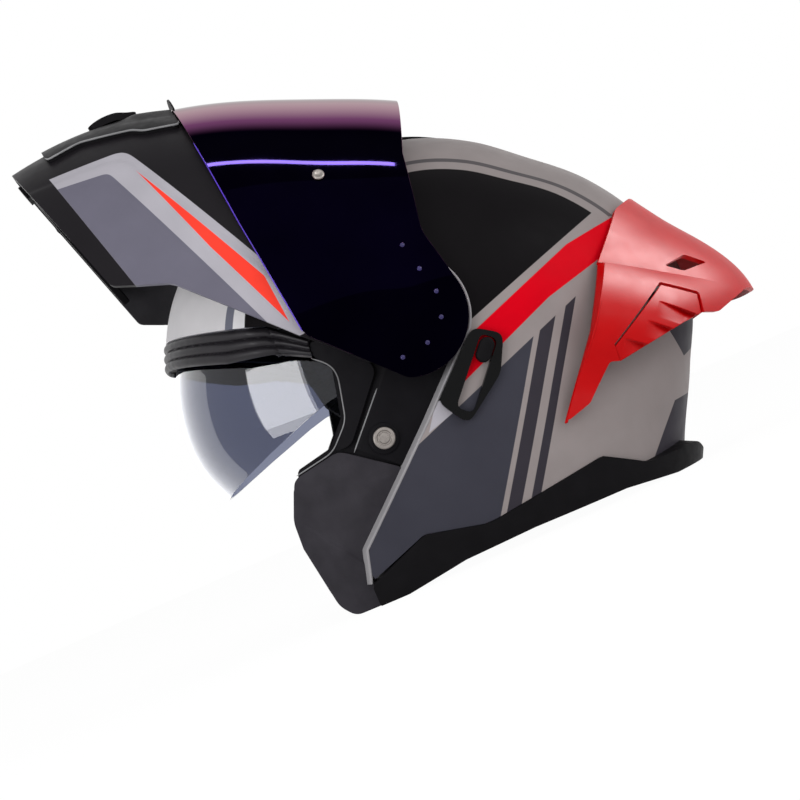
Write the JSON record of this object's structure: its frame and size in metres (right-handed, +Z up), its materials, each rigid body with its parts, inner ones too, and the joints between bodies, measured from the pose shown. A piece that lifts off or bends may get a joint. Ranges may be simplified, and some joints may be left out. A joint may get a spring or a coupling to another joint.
{
  "type": "motorcycle helmet",
  "caption": "Flip-up motorcycle helmet with a hinged chin bar, mirrored face shield, drop-down sun visor, rear spoiler, padded liner and buckled chin strap.",
  "frame": {"origin": "centre of the bounding box at the flat bottom edge that the helmet stands on", "axes": "-X is the front, -Y the wearer's left side, +Z up"},
  "size_m": [0.3789, 0.2478, 0.3268],
  "materials": {
    "shell_paint": "gloss painted shell, grey with black and red bands",
    "black_trim": "satin black moulding",
    "gasket_rubber": "satin black rubber",
    "red_paint": "gloss red paint",
    "steel": "turned steel",
    "vent_paint": "gloss grey paint",
    "gloss_black": "gloss black moulding",
    "lens_tint": "clear smoke polycarbonate",
    "shield_mirror": "dark polycarbonate with a purple mirror coating",
    "foam": "moulded foam bead liner",
    "lining": "black honeycomb mesh lining",
    "webbing": "black woven webbing",
    "chin_paint": "gloss paint, light and dark grey with a red band"
  },
  "bodies": {
    "shell": {"outer_shell": "shell_paint", "lower_trim": "black_trim", "brow_gasket": "gasket_rubber", "eyeport_trim_left": "black_trim", "eyeport_trim_right": "black_trim", "hinge_cover_left": "black_trim", "hinge_cover_right": "black_trim", "jaw_cover_left": "black_trim", "jaw_cover_right": "black_trim", "striker_pins": "steel", "hinge_posts": "steel", "rear_spoiler": "red_paint", "exhaust_grille_left": "red_paint", "exhaust_grille_right": "red_paint", "top_vent_base": "vent_paint", "switch_bezel": "gloss_black", "sun_visor_pins": "steel", "impact_liner": "foam", "crown_lining": "lining", "cheek_pad_left": "lining", "cheek_pad_right": "lining", "neck_roll": "lining", "strap_left": "webbing", "strap_right": "webbing", "strap_rivets": "steel", "buckle_body": "black_trim", "buckle_tongue": "black_trim"},
    "crown_vent": {"top_vent_slider": "gloss_black"},
    "visor_switch": {"sun_visor_switch": "gloss_black"},
    "sun_visor": {"sun_visor": "lens_tint", "sun_visor_bosses": "black_trim"},
    "strap_lever": {"buckle_lever": "red_paint"},
    "chin_bar": {"chin_bar": "chin_paint", "chin_foam_liner": "foam", "chin_rim_trim": "black_trim", "chin_vent_cover": "black_trim", "breath_guard": "lining", "hinge_arm_left": "steel", "hinge_arm_right": "steel", "latch_forks": "steel", "visor_stubs": "black_trim"},
    "chin_vent": {"chin_vent_door": "black_trim"},
    "release": {"release_button": "black_trim"},
    "face_shield": {"face_shield": "shield_mirror", "visor_hubs": "black_trim", "visor_pins": "steel"}
  },
  "joints": [
    {"name": "chin_bar_hinge", "type": "hinge", "parent": "shell", "child": "chin_bar", "pos_m": [-0.018, 0, 0.14], "axis": [0, -1, 0], "range_deg": [0, 88]},
    {"name": "face_shield_hinge", "type": "hinge", "parent": "chin_bar", "child": "face_shield", "pos_m": [-0.018, 0, 0.14], "axis": [0, 1, 0], "range_deg": [0, 35]},
    {"name": "sun_visor_hinge", "type": "hinge", "parent": "shell", "child": "sun_visor", "pos_m": [-0.03, 0, 0.115], "axis": [0, 1, 0], "range_deg": [0, 42]},
    {"name": "visor_switch_slide", "type": "slide", "parent": "shell", "child": "visor_switch", "axis": [-0.669, 0, -0.7433], "range_m": [0, 0.02]},
    {"name": "crown_vent_slide", "type": "slide", "parent": "shell", "child": "crown_vent", "axis": [0.9904, 0, -0.1379], "range_m": [0, 0.008]},
    {"name": "chin_vent_slide", "type": "slide", "parent": "chin_bar", "child": "chin_vent", "axis": [0.9994, 0, 0.0349], "range_m": [0, 0.006]},
    {"name": "release_press", "type": "slide", "parent": "chin_bar", "child": "release", "axis": [0.9521, 0, 0.3057], "range_m": [0, 0.004], "stiffness_N_per_m": 400, "springref_m": -0.001},
    {"name": "buckle_lever_hinge", "type": "hinge", "parent": "shell", "child": "strap_lever", "pos_m": [0, -0.008, 0.0135], "axis": [-1, 0, 0], "range_deg": [0, 40], "stiffness_Nm_per_rad": 0.02, "springref_deg": -5.73}
  ],
  "couplings": [
    {"joint": "visor_switch_slide", "follows": "sun_visor_hinge", "m_per_rad": 0.027147}
  ]
}
